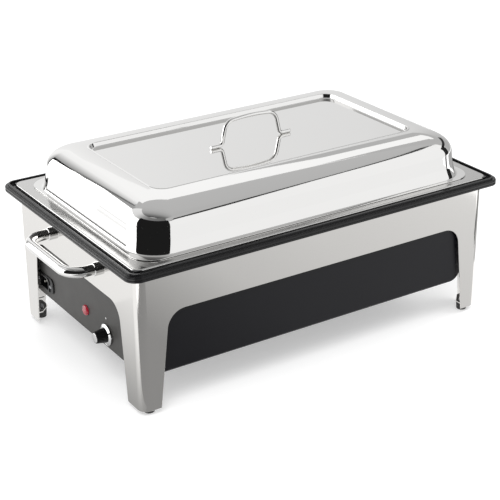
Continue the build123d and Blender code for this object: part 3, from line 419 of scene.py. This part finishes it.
class Shape:
    """The points and faces of one piece."""

    def __init__(self):
        self.points, self.faces = [], []

    def face(self, points):
        start = len(self.points)
        self.points += points
        self.faces.append(tuple(range(start, start + len(points))))

    def skin(self, rings, closed=False, capped=False):
        """Joins rings of equally many points in their order."""
        start, count = len(self.points), len(rings[0])
        for points in rings:
            self.points += points
        pairs = len(rings) if closed else len(rings) - 1
        for row in range(pairs):
            here, there = start + row * count, start + (row + 1) % len(rings) * count
            for i in range(count):
                j = (i + 1) % count
                self.faces.append((here + i, here + j, there + j, there + i))
        if capped:
            last = start + (len(rings) - 1) * count
            self.faces.append(tuple(range(start + count - 1, start - 1, -1)))
            self.faces.append(tuple(range(last, last + count)))

    def turned(self, profile, origin, axis, steps=72, shape=None, closed=False):
        """A profile of (radius, along) points turned about an axis.

        shape(angle) is the share of the radius there.
        """
        axis = Vector(axis)
        across = axis.orthogonal().normalized()
        other = axis.cross(across)
        rings = []
        for radius, along in profile:
            points = []
            for i in range(steps):
                angle = 2 * pi * i / steps
                reach = radius * (shape(angle) if shape else 1)
                spoke = across * cos(angle) + other * sin(angle)
                points.append(Vector(origin) + axis * along + spoke * reach)
            rings.append(points)
        self.skin(rings, closed=closed, capped=not closed)

    def tube(self, path, radius, square_to, rounding=0.0, sides=40):
        """A round bar along a flat path whose plane is square to square_to; rounding softens its two ends."""
        directions = [(b - a).normalized() for a, b in zip(path, path[1:])]
        tangents = [directions[0]] + [(a + b).normalized() for a, b in zip(directions, directions[1:])]
        tangents.append(directions[-1])
        stations = [(point, tangent, radius) for point, tangent in zip(path, tangents)]
        if rounding:
            end_steps = 4
            turns = [pi / 2 * i / end_steps for i in range(end_steps)]
            start = [(path[0] + tangents[0] * rounding * (1 - sin(turn)), tangents[0],
                      radius - rounding * (1 - cos(turn))) for turn in reversed(turns[1:])]
            start.insert(0, (path[0], tangents[0], radius - rounding))
            end = [(path[-1] - tangents[-1] * rounding * (1 - sin(turn)), tangents[-1],
                    radius - rounding * (1 - cos(turn))) for turn in turns[1:]]
            end.append((path[-1], tangents[-1], radius - rounding))
            stations = start + [(path[0] + tangents[0] * rounding, tangents[0], radius)] + stations[1:-1] \
                + [(path[-1] - tangents[-1] * rounding, tangents[-1], radius)] + end
        rings = []
        for point, tangent, reach in stations:
            across = tangent.cross(square_to).normalized()
            angles = [2 * pi * i / sides for i in range(sides)]
            rings.append([point + (across * cos(angle) + square_to * sin(angle)) * reach for angle in angles])
        self.skin(rings, capped=True)

    def piece(self, name, slot, body, nodes, sheet=0.0, edge=0.0, sharp=40):
        """Makes the object. sheet is a thickness to give it inwards, edge the width of its softened edges."""
        mesh = bpy.data.meshes.new(name)
        mesh.from_pydata(self.points, [], self.faces)
        work = bmesh.new()
        work.from_mesh(mesh)
        bmesh.ops.remove_doubles(work, verts=work.verts, dist=MERGE_WITHIN)
        bmesh.ops.recalc_face_normals(work, faces=work.faces)
        work.to_mesh(mesh)
        work.free()
        mesh.materials.append(materials[slot])
        made = bpy.data.objects.new(name, mesh)
        bpy.context.scene.collection.objects.link(made)
        if sheet:
            thick = made.modifiers.new("sheet", "SOLIDIFY")
            thick.thickness, thick.offset, thick.use_even_offset = sheet, -1, True
        smooth(made, edge, sharp)
        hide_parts(*nodes)
        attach(made, body)
        return made


def smooth(thing, edge=0.0, sharp=40):
    """Smooth shading that keeps flat faces flat, with edges sharper than that angle kept or softened."""
    thing.data.shade_smooth()
    thing.data.set_sharp_from_angle(angle=radians(sharp))
    if edge:
        soft = thing.modifiers.new("edge", "BEVEL")
        soft.width, soft.segments = edge, 2
        soft.limit_method, soft.angle_limit = "ANGLE", radians(sharp)
        soft.use_clamp_overlap = True
        soft.harden_normals = True
    even = thing.modifiers.new("even", "WEIGHTED_NORMAL")
    even.mode, even.keep_sharp = "FACE_AREA", True


# ------------------------------------------------------------------ lid
LID_SHEET = 1.0 * MM
LID_FLANGE_REACH, LID_FLANGE_CORNER = 5.5 * MM, 32 * MM
LID_BASE_CORNER, LID_PANEL_CORNER = 46 * MM, 18.6 * MM
LID_WALL_SLOPE = (0.35, 0.075)                  # inwards per unit of height, at its foot and above the flare
LID_FLARE_HEIGHT = 24 * MM
LID_WALL_HEIGHT = 33.3 * MM
LID_PANEL_MARGIN = (58.6 * MM, 62.4 * MM)       # base edge to panel brink, along X and Y
LID_PANEL_STEP, LID_STEP_RUN = 5.8 * MM, 2.6 * MM
LID_STEP_ANGLE = radians(66)
LID_BEAD = 0.70 * MM                            # the brink's pressed bead stands that much above the shoulder
LID_FOOT_FILLET = 1.5 * MM
LID_SHOULDER_POWER = 2.07                       # 2 would be an ellipse


def lid_wall_inset(height):
    """How far in the wall is at a height above its foot: it flares towards the foot."""
    foot, top = LID_WALL_SLOPE
    flared = min(height, LID_FLARE_HEIGHT)
    return foot * flared - (foot - top) * flared ** 2 / (2 * LID_FLARE_HEIGHT) + top * (height - flared)


def lid_rings(inside):
    """Rings of the lid's skin from its foot to its panel, inside metres within its outer face."""
    low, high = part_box("lid")
    base_x, base_y = high.x - LID_FLANGE_REACH, high.y - LID_FLANGE_REACH
    panel_x, panel_y = base_x - LID_PANEL_MARGIN[0], base_y - LID_PANEL_MARGIN[1]
    rise = high.z - low.z - LID_WALL_HEIGHT
    wall_inset = lid_wall_inset(LID_WALL_HEIGHT)
    rings = []

    def add(inset_x, inset_y, height, corner):
        sink = inside * (height - low.z) / (high.z - low.z)
        rings.append(ring(base_x - inset_x - inside, base_y - inset_y - inside,
                          corner - inside, height - sink))

    if inside:
        add(0, 0, low.z, LID_BASE_CORNER)
    wall_foot, wall_steps = LID_SHEET + LID_FOOT_FILLET, 16
    for step in range(wall_steps + 1):
        height = wall_foot + (LID_WALL_HEIGHT - wall_foot) * step / wall_steps
        inset = lid_wall_inset(height)
        add(inset, inset, low.z + height, LID_BASE_CORNER)
    shoulder_steps = 30
    for step in range(1, shoulder_steps):
        angle = step / shoulder_steps * pi / 2
        share = 1 - cos(angle) ** (2 / LID_SHOULDER_POWER)
        height = low.z + LID_WALL_HEIGHT + rise * sin(angle) ** (2 / LID_SHOULDER_POWER)
        corner = LID_PANEL_CORNER + (LID_BASE_CORNER - LID_PANEL_CORNER) * (1 - share) ** 2
        add(wall_inset + share * (LID_PANEL_MARGIN[0] - wall_inset),
            wall_inset + share * (LID_PANEL_MARGIN[1] - wall_inset), height, corner)
    shift = inside * tan(LID_STEP_ANGLE / 2)    # the step's inner face lies that much further out
    step_profile = filleted((-6 * MM, 0, 0), (-2.9 * MM, 0, 1.5 * MM), (-1.5 * MM, LID_BEAD, 0.8 * MM),
                            (0, LID_BEAD, 1.2 * MM), (LID_STEP_RUN, -LID_PANEL_STEP, 1.8 * MM),
                            (LID_STEP_RUN + 8 * MM, -LID_PANEL_STEP, 0))
    for inset, fall in step_profile[1:]:
        rings.append(ring(panel_x - inset + shift, panel_y - inset + shift,
                          max(LID_PANEL_CORNER - inset + shift, MM), high.z + fall - inside))
    return rings


def lid_flange_rings():
    """Rings round the flange: its underside, its rolled edge, and its top up to the wall's foot."""
    low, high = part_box("lid")
    wall_foot = LID_SHEET + LID_FOOT_FILLET
    reach = LID_FLANGE_REACH
    edge = 0.42 * LID_SHEET
    profile = filleted((0, 0, 0), (reach, 0, edge), (reach, LID_SHEET, edge),
                       (0, LID_SHEET, LID_FOOT_FILLET), (-lid_wall_inset(wall_foot), wall_foot, 0))
    rings = []
    for outset, height in profile[1:-1]:
        share = max(outset, 0) / reach
        corner = LID_BASE_CORNER + (LID_FLANGE_CORNER - LID_BASE_CORNER) * share
        rings.append(ring(high.x - reach + outset, high.y - reach + outset, corner, low.z + height))
    return rings


def make_lid():
    shape = Shape()
    shape.skin(lid_rings(LID_SHEET)[::-1] + lid_flange_rings() + lid_rings(0.0), capped=True)
    shape.piece("lid_shell", "polished_steel", "lid", ["lid"])


def make_lid_handle():
    low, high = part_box("lid_handle")
    radius = (high.y - low.y) / 2
    axis = low.z + radius
    foot, shoulder, rise, crown = 49.5 * MM, 42 * MM, 34 * MM, 37.6 * MM
    foot_bend, shoulder_bend, crown_bend = 6 * MM, 17 * MM, 200 * MM
    path = filleted((low.x, 0, axis, 0), (-foot, 0, axis, foot_bend),
                    (-shoulder, 0, axis + rise, shoulder_bend), (0, 0, axis + crown, crown_bend),
                    (shoulder, 0, axis + rise, shoulder_bend), (foot, 0, axis, foot_bend),
                    (high.x, 0, axis, 0))
    shape = Shape()
    shape.tube(path, radius, Vector((0, 1, 0)), rounding=1.1 * MM)
    shape.piece("lid_handle_rod", "polished_steel", "lid", ["lid_handle"])


# ------------------------------------------------------------------ end handles
HANDLE_BEND = 26 * MM
COLLAR_SOFTNESS = 1.2 * MM


def make_end_handle(side, node):
    low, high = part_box(node)
    radius = (high.z - low.z) / 2
    height = (high.z + low.z) / 2
    span = high.y - radius
    inner, outer = (high.x, low.x + radius) if side < 0 else (low.x, high.x - radius)
    path = filleted((inner, -span, height, 0), (outer, -span, height, HANDLE_BEND),
                    (outer, span, height, HANDLE_BEND), (inner, span, height, 0))
    shape = Shape()
    shape.tube(path, radius, Vector((0, 0, 1)))
    shape.piece(node + "_tube", "polished_steel", "base", [node])


def make_collars():
    low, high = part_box("handle_collars")
    tube_low, tube_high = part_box("end_handle_left")
    tube_radius = (tube_high.z - tube_low.z) / 2
    radius = (high.z - low.z) / 2
    height = (high.z + low.z) / 2
    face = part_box("frame")[1].x
    length = high.x - face
    profile = filleted((tube_radius, 0, 0), (radius, 0, 0), (radius, length, COLLAR_SOFTNESS),
                       (tube_radius, length, 0))
    shape = Shape()
    for side in (-1, 1):
        for y in (-(high.y - radius), high.y - radius):
            shape.turned(profile, (side * face, y, height), (side, 0, 0), closed=True)
    shape.piece("handle_collar_rings", "polished_steel", "base", ["handle_collars"])


# ------------------------------------------------------------------ stand
FRAME_CORNER = 13 * MM
FRAME_SHEET = 1.5 * MM
FRAME_FLANGE = (28 * MM, 20 * MM)
OPENING_TOP, OPENING_CORNER = 145.5 * MM, 27 * MM
FRONT_OPENING = (260.5 * MM, 244.5 * MM)        # half widths at the leg's foot and at the opening's top
END_OPENING = (140 * MM, 126 * MM)


def apron_outline(half, low, high, opening):
    """One flat side with its two leg halves, as (across, up) points."""
    bottom, top = opening
    arch = filleted((-bottom, low, 0), (-top, OPENING_TOP, OPENING_CORNER),
                    (top, OPENING_TOP, OPENING_CORNER), (bottom, low, 0))
    return [Vector((half, low)), Vector((half, high)), Vector((-half, high)), Vector((-half, low))] + arch


def make_frame():
    low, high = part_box("frame")
    shape = Shape()
    for side in (-1, 1):
        shape.face([Vector((across, side * high.y, up)) for across, up in
                    apron_outline(high.x - FRAME_CORNER, low.z, high.z, FRONT_OPENING)][::side])
        shape.face([Vector((side * high.x, across, up)) for across, up in
                    apron_outline(high.y - FRAME_CORNER, low.z, high.z, END_OPENING)][::-side])
    foot, brow = ring(high.x, high.y, FRAME_CORNER, low.z), ring(high.x, high.y, FRAME_CORNER, high.z)
    for turn in range(4):
        start = turn * (CORNER_STEPS + 1)
        for i in range(start, start + CORNER_STEPS):
            shape.face([foot[i], foot[i + 1], brow[i + 1], brow[i]])
    mouth = ring(high.x - FRAME_FLANGE[0], high.y - FRAME_FLANGE[1], FRAME_CORNER, high.z)
    shape.skin([brow, mouth])
    shape.piece("stand_shell", "frame_steel", "base", ["frame"], sheet=FRAME_SHEET, edge=0.3 * MM, sharp=50)


# ------------------------------------------------------------------ black rim
RIM_CORNER = 18 * MM


def make_rim():
    low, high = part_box("rim")
    ledge, ridge_low, ridge_high = 7.6 * MM, 3.3 * MM, 6.9 * MM      # above the rim's foot
    ridge_depth, ridge_half = 0.9 * MM, 0.65 * MM
    lip, groove, seat = 4.5 * MM, 7.5 * MM, 14.8 * MM                # inwards from the outer face
    groove_floor, seat_top = 6.3 * MM, 10.0 * MM
    top = high.z - low.z
    hole_x, hole_y, hole_corner = 269 * MM, 165.5 * MM, 24 * MM
    corners = [(seat, 0, 0), (0, 0, 0.4 * MM)]
    for height in (ridge_low, ridge_high):
        corners += [(0, height - ridge_half, 0.35 * MM),
                    (ridge_depth, height - ridge_half + 0.1 * MM, 0.25 * MM),
                    (ridge_depth, height + ridge_half - 0.1 * MM, 0.25 * MM),
                    (0, height + ridge_half, 0.35 * MM)]
    corners[-1] = (0.5 * MM, ridge_high + ridge_half, 0.3 * MM)
    corners += [(1.6 * MM, ledge + 0.4 * MM, 0.5 * MM), (lip, ledge + 0.4 * MM, 0.4 * MM),
                (lip, top, 0.9 * MM), (groove, top, 0.5 * MM), (groove, groove_floor, 0.4 * MM),
                (seat, groove_floor, 0.4 * MM),
                (seat, seat_top, 0.2 * MM), (seat + 2 * MM, seat_top, 0)]
    rings = [ring(high.x - inset, high.y - inset, RIM_CORNER - inset, low.z + height)
             for inset, height in filleted(*corners)]
    rings.append(ring(hole_x, hole_y, hole_corner, low.z + seat_top))
    rings.append(ring(hole_x, hole_y, hole_corner, low.z))
    shape = Shape()
    shape.skin(rings, closed=True)
    shape.piece("rim_moulding", "rim_plastic", "base", ["rim"], sharp=60)


# ------------------------------------------------------------------ pans
PAN_SHEET = 1.0 * MM
FOOD_PAN_TAPER = radians(6)


def make_water_pan():
    low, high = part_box("water_pan")
    rim_corner = 12.5 * MM
    seat_x, seat_y, seat_corner, seat_floor = 266.5 * MM, 164 * MM, 21 * MM, high.z - 7 * MM
    well_x, well_y, well_corner = 256 * MM, 152 * MM, 46 * MM
    well_floor = low.z + PAN_SHEET
    downturn = 4 * MM
    shape = Shape()
    edge = filleted((0, -downturn, 0), (0, 0, 2.2 * MM), (6 * MM, 0, 0))
    rings = [ring(high.x - inset, high.y - inset, rim_corner - inset, high.z + height)
             for inset, height in edge]
    brink = filleted((-3 * MM, high.z, 0), (0, high.z, 1.5 * MM), (0.2 * MM, seat_floor, 1.5 * MM),
                     (4 * MM, seat_floor, 0))
    rings += [ring(seat_x - inset, seat_y - inset, seat_corner - max(inset, 0), height)
              for inset, height in brink]
    well = filleted((-4 * MM, seat_floor, 0), (0, seat_floor, 2.5 * MM), (0, well_floor, 11 * MM),
                    (30 * MM, well_floor, 0))
    rings += [ring(well_x - inset, well_y - inset, well_corner - max(inset, 0), height)
              for inset, height in well]
    shape.skin(rings)
    shape.face(rings[-1])
    shape.piece("water_pan_shell", "pan_steel", "base", ["water_pan"], sheet=PAN_SHEET)


def make_food_pan():
    low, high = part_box("food_pan")
    rim_corner = 19 * MM
    body_x, body_y, body_corner = 252.5 * MM, 150 * MM, 44 * MM
    floor = low.z + PAN_SHEET
    fall = (high.z - floor) * tan(FOOD_PAN_TAPER)
    shape = Shape()
    edge = filleted((0, -5 * MM, 0), (0, 0, 1.3 * MM), (6 * MM, 0, 0))
    rings = [ring(high.x - inset, high.y - inset, rim_corner - inset, high.z + height)
             for inset, height in edge]
    bowl = filleted((-5 * MM, high.z, 0), (0, high.z, 3 * MM), (fall, floor, 9 * MM),
                    (fall + 25 * MM, floor, 0))
    rings += [ring(body_x - inset, body_y - inset, body_corner - max(inset, 0) * 0.6, height)
              for inset, height in bowl]
    shape.skin(rings)
    shape.face(rings[-1])
    shape.piece("food_pan_shell", "pan_steel", "food_pan", ["food_pan"], sheet=PAN_SHEET)


# ------------------------------------------------------------------ controls
SHAFT_RADIUS = 0.003


def knob_axis():
    low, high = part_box("knob_skirt")
    return (low.y + high.y) / 2, (low.z + high.z) / 2


def make_knob():
    y, z = knob_axis()
    outwards = (-1, 0, 0)
    low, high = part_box("knob_skirt")
    radius, brow = (high.z - low.z) / 2, 12.3 * MM
    skirt = Shape()
    skirt.turned(filleted((SHAFT_RADIUS, 0, 0), (radius, 0, 0.2 * MM), (radius, 0.5 * MM, 0.3 * MM),
                          (brow, high.x - low.x, 0.8 * MM), (SHAFT_RADIUS, high.x - low.x, 0)),
                 (high.x, y, z), outwards, closed=True, steps=96)
    skirt.piece("knob_skirt_trim", "knob_trim", "knob", ["knob_skirt"])

    low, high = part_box("knob_body")
    radius = (high.z - low.z) / 2
    length = high.x - low.x
    tip = 8.0 * MM
    flutes, flute_depth, flute_power = 24, 0.055, 0.7

    def fluted(angle):
        hollow = max(0.0, cos(flutes * angle))
        return 1 - flute_depth * hollow ** flute_power

    grip = Shape()
    grip.turned(filleted((SHAFT_RADIUS, 0, 0), (radius, 0, 0.3 * MM), (tip, length, 0.7 * MM),
                         (SHAFT_RADIUS, length, 0)),
                (high.x, y, z), outwards, closed=True, steps=flutes * 12, shape=fluted)
    grip.piece("knob_grip", "black_plastic", "knob", ["knob_body"], sharp=70)

    low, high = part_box("knob_cap")
    radius = (high.z - low.z) / 2
    height = high.x - low.x
    cap = Shape()
    cap.turned(filleted((radius, 0, 0), (radius, height * 0.55, 0.4 * MM),
                        (radius - 1.4 * MM, height * 0.8, 1.5 * MM), (0.3 * MM, height, 0)),
               (high.x, y, z), outwards)
    cap.piece("knob_cap_disc", "knob_trim", "knob", ["knob_cap"], sharp=60)


def make_lamp():
    low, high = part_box("lamp_lens")
    radius, height = (high.z - low.z) / 2, high.x - low.x
    centre = (high.x, (low.y + high.y) / 2, (low.z + high.z) / 2)
    lens = Shape()
    lens.turned(filleted((radius, 0, 0), (radius, height, 2.8 * MM), (0.4 * MM, height, 0)),
                centre, (-1, 0, 0))
    lens.piece("lamp_lens_dome", "lens_red", "base", ["lamp_lens"], sharp=60)

    low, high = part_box("index_dot")
    radius = (high.z - low.z) / 2
    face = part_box("control_panel")[0].x
    height = face - low.x
    dot = Shape()
    dot.turned(filleted((radius, 0, 0), (radius, height, 0.6 * MM), (0.1 * MM, height, 0)),
               (face, (low.y + high.y) / 2, (low.z + high.z) / 2), (-1, 0, 0), steps=40)
    dot.piece("index_stud", "knob_trim", "base", ["index_dot"], sharp=60)


# ------------------------------------------------------------------ feet
def make_feet():
    low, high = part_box("rubber_feet")
    radius = 8.5 * MM
    sole = 7.3 * MM
    height = high.z - low.z
    bore, pocket, pocket_depth = 2.0 * MM, 4.2 * MM, 6 * MM
    profile = filleted((bore, height, 0), (bore, pocket_depth, 0), (pocket, pocket_depth, 0),
                       (pocket, 0, 0.4 * MM), (sole, 0, 0.8 * MM), (radius, height, 0.5 * MM),
                       (bore, height, 0))
    shape = Shape()
    for x in (low.x + radius, high.x - radius):
        for y in (low.y + radius, high.y - radius):
            shape.turned(profile[:-1], (x, y, low.z), (0, 0, 1), closed=True, steps=48)
    shape.piece("feet_rubber", "foot_rubber", "base", ["rubber_feet"], sharp=50)


# ------------------------------------------------------------------ nodes kept from the CAD
SOFT_EDGES = {"control_panel": 0.3 * MM, "inlet_body": 0.2 * MM, "foot_brackets": 0.3 * MM}


def dress_cad_nodes():
    """Gives every CAD node its slot's finish, and the shown ones smooth shading and soft edges."""
    slots = {part["node"]: part["material_slot"] for part in frame["record"]["subparts"]}
    for name, node in frame["nodes"].items():
        if not node.material_slots:
            node.data.materials.append(None)
        for place in node.material_slots:
            place.material = materials[slots[name]]
        if not node.hide_render:
            smooth(node, SOFT_EDGES.get(name, 0.0))


# ------------------------------------------------------------------ build
bpy.context.scene.view_settings.view_transform = "Standard"
make_camera()
make_surroundings()
materials = make_materials()
make_frame()
make_rim()
make_water_pan()
make_food_pan()
make_lid()
make_lid_handle()
make_end_handle(-1, "end_handle_left")
make_end_handle(1, "end_handle_right")
make_collars()
make_knob()
make_lamp()
make_feet()
dress_cad_nodes()

bpy.context.view_layer.update()
